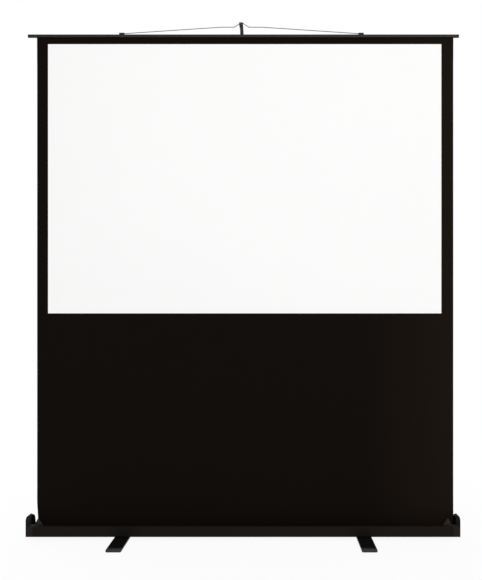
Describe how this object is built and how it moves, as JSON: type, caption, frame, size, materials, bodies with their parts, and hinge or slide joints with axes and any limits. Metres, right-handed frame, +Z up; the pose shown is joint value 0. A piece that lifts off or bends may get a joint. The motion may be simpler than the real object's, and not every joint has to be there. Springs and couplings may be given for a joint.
{
  "type": "floor-standing projection screen",
  "caption": "Pull-up projection screen: a bordered white sheet rises from a low floor case to a top bar whose wire bail hooks on a folding telescopic mast.",
  "frame": {"origin": "on the floor under the middle of the case, at the centre of the object's footprint", "axes": "+X along the case to the right as the audience sees it, +Y away from the audience, +Z up"},
  "size_m": [1.752, 0.44, 2.1094],
  "materials": {
    "case_aluminium": "satin black anodised",
    "bar_aluminium": "satin dark anodised",
    "mast_aluminium": "satin black anodised",
    "cap_plastic": "fine moulded grain",
    "small_plastic": "moulded black",
    "foot_plastic": "moulded dark grey",
    "foot_paint": "black powder coat",
    "bracket_paint": "black powder coat",
    "zinc_steel": "zinc plated",
    "screw_black": "black screw finish",
    "wire_steel": "drawn wire",
    "sheet_black": "matte coated cloth",
    "view_white": "matte white coated cloth",
    "pad_rubber": "moulded rubber"
  },
  "bodies": {
    "case": {"case_body": "case_aluminium", "left_end_cap": "cap_plastic", "right_end_cap": "cap_plastic", "left_cap_screw": "screw_black", "right_cap_screw": "screw_black", "left_roller_bracket": "zinc_steel", "right_roller_bracket": "zinc_steel", "spring_mandrel": "zinc_steel", "roller_spring": "zinc_steel", "mast_bracket": "bracket_paint", "mast_pivot_pin": "zinc_steel", "mast_bracket_bolt_1": "zinc_steel", "mast_bracket_bolt_2": "zinc_steel", "mast_stow_clip": "small_plastic", "stow_clip_bolt": "zinc_steel", "left_foot_bolt": "zinc_steel", "left_foot_washer": "small_plastic", "right_foot_bolt": "zinc_steel", "right_foot_washer": "small_plastic"},
    "roller": {"roller_tube": "zinc_steel", "roller_spring_plug": "small_plastic", "roller_idler_plug": "small_plastic", "fabric_roll": "sheet_black"},
    "screen_bar": {"top_bar": "bar_aluminium", "left_bar_cap": "cap_plastic", "right_bar_cap": "cap_plastic", "left_wire_clip": "small_plastic", "right_wire_clip": "small_plastic", "screen_sheet": "sheet_black", "viewing_area": "view_white"},
    "bail": {"left_bail_wire": "wire_steel", "right_bail_wire": "wire_steel"},
    "mast_outer": {"mast_outer_tube": "mast_aluminium", "mast_base_plug": "small_plastic", "lower_clamp_collar": "small_plastic", "lower_clamp_pin": "zinc_steel"},
    "lower_lever": {"lower_clamp_lever": "small_plastic"},
    "mast_middle": {"mast_middle_tube": "mast_aluminium", "middle_guide_bush": "small_plastic", "upper_clamp_collar": "small_plastic", "upper_clamp_pin": "zinc_steel"},
    "upper_lever": {"upper_clamp_lever": "small_plastic"},
    "mast_inner": {"mast_inner_tube": "mast_aluminium", "inner_guide_bush": "small_plastic", "mast_head": "small_plastic"},
    "left_foot_arm": {"left_foot": "foot_paint", "left_foot_front_cap": "foot_plastic", "left_foot_rear_cap": "foot_plastic", "left_foot_front_pad": "pad_rubber", "left_foot_rear_pad": "pad_rubber"},
    "right_foot_arm": {"right_foot": "foot_paint", "right_foot_front_cap": "foot_plastic", "right_foot_rear_cap": "foot_plastic", "right_foot_front_pad": "pad_rubber", "right_foot_rear_pad": "pad_rubber"}
  },
  "joints": [
    {"name": "screen_lift", "type": "slide", "parent": "case", "child": "screen_bar", "axis": [0, 0, 1], "range_m": [-1.9389, 0], "deforming": ["screen_sheet", "viewing_area"]},
    {"name": "roller_spin", "type": "hinge", "parent": "case", "child": "roller", "pos_m": [0, 0, 0.0403], "axis": [1, 0, 0], "range_deg": [-6735, 0]},
    {"name": "bail_swing", "type": "hinge", "parent": "screen_bar", "child": "bail", "pos_m": [-0.008, 0.01415, 2.0493], "axis": [1, 0, 0], "range_deg": [0, 115]},
    {"name": "mast_fold", "type": "hinge", "parent": "case", "child": "mast_outer", "pos_m": [-0.008, 0.0598, 0.0663], "axis": [0, 1, 0], "range_deg": [0, 90]},
    {"name": "lower_lever_turn", "type": "hinge", "parent": "mast_outer", "child": "lower_lever", "pos_m": [-0.008, 0.0815, 0.7993], "axis": [1, 0, 0], "range_deg": [0, 100]},
    {"name": "mast_middle_slide", "type": "slide", "parent": "mast_outer", "child": "mast_middle", "axis": [0, 0, 1], "range_m": [-0.5921, 0]},
    {"name": "upper_lever_turn", "type": "hinge", "parent": "mast_middle", "child": "upper_lever", "pos_m": [-0.008, 0.079, 1.43383], "axis": [1, 0, 0], "range_deg": [0, 100]},
    {"name": "mast_inner_slide", "type": "slide", "parent": "mast_middle", "child": "mast_inner", "axis": [0, 0, 1], "range_m": [-0.6141, 0]},
    {"name": "left_foot_swivel", "type": "hinge", "parent": "case", "child": "left_foot_arm", "pos_m": [-0.4865, 0, 0.008], "axis": [0, 0, -1], "range_deg": [0, 90]},
    {"name": "right_foot_swivel", "type": "hinge", "parent": "case", "child": "right_foot_arm", "pos_m": [0.4865, 0, 0.008], "axis": [0, 0, 1], "range_deg": [0, 90]}
  ],
  "couplings": [
    {"joint": "roller_spin", "follows": "screen_lift", "rad_per_m": 60.6}
  ]
}
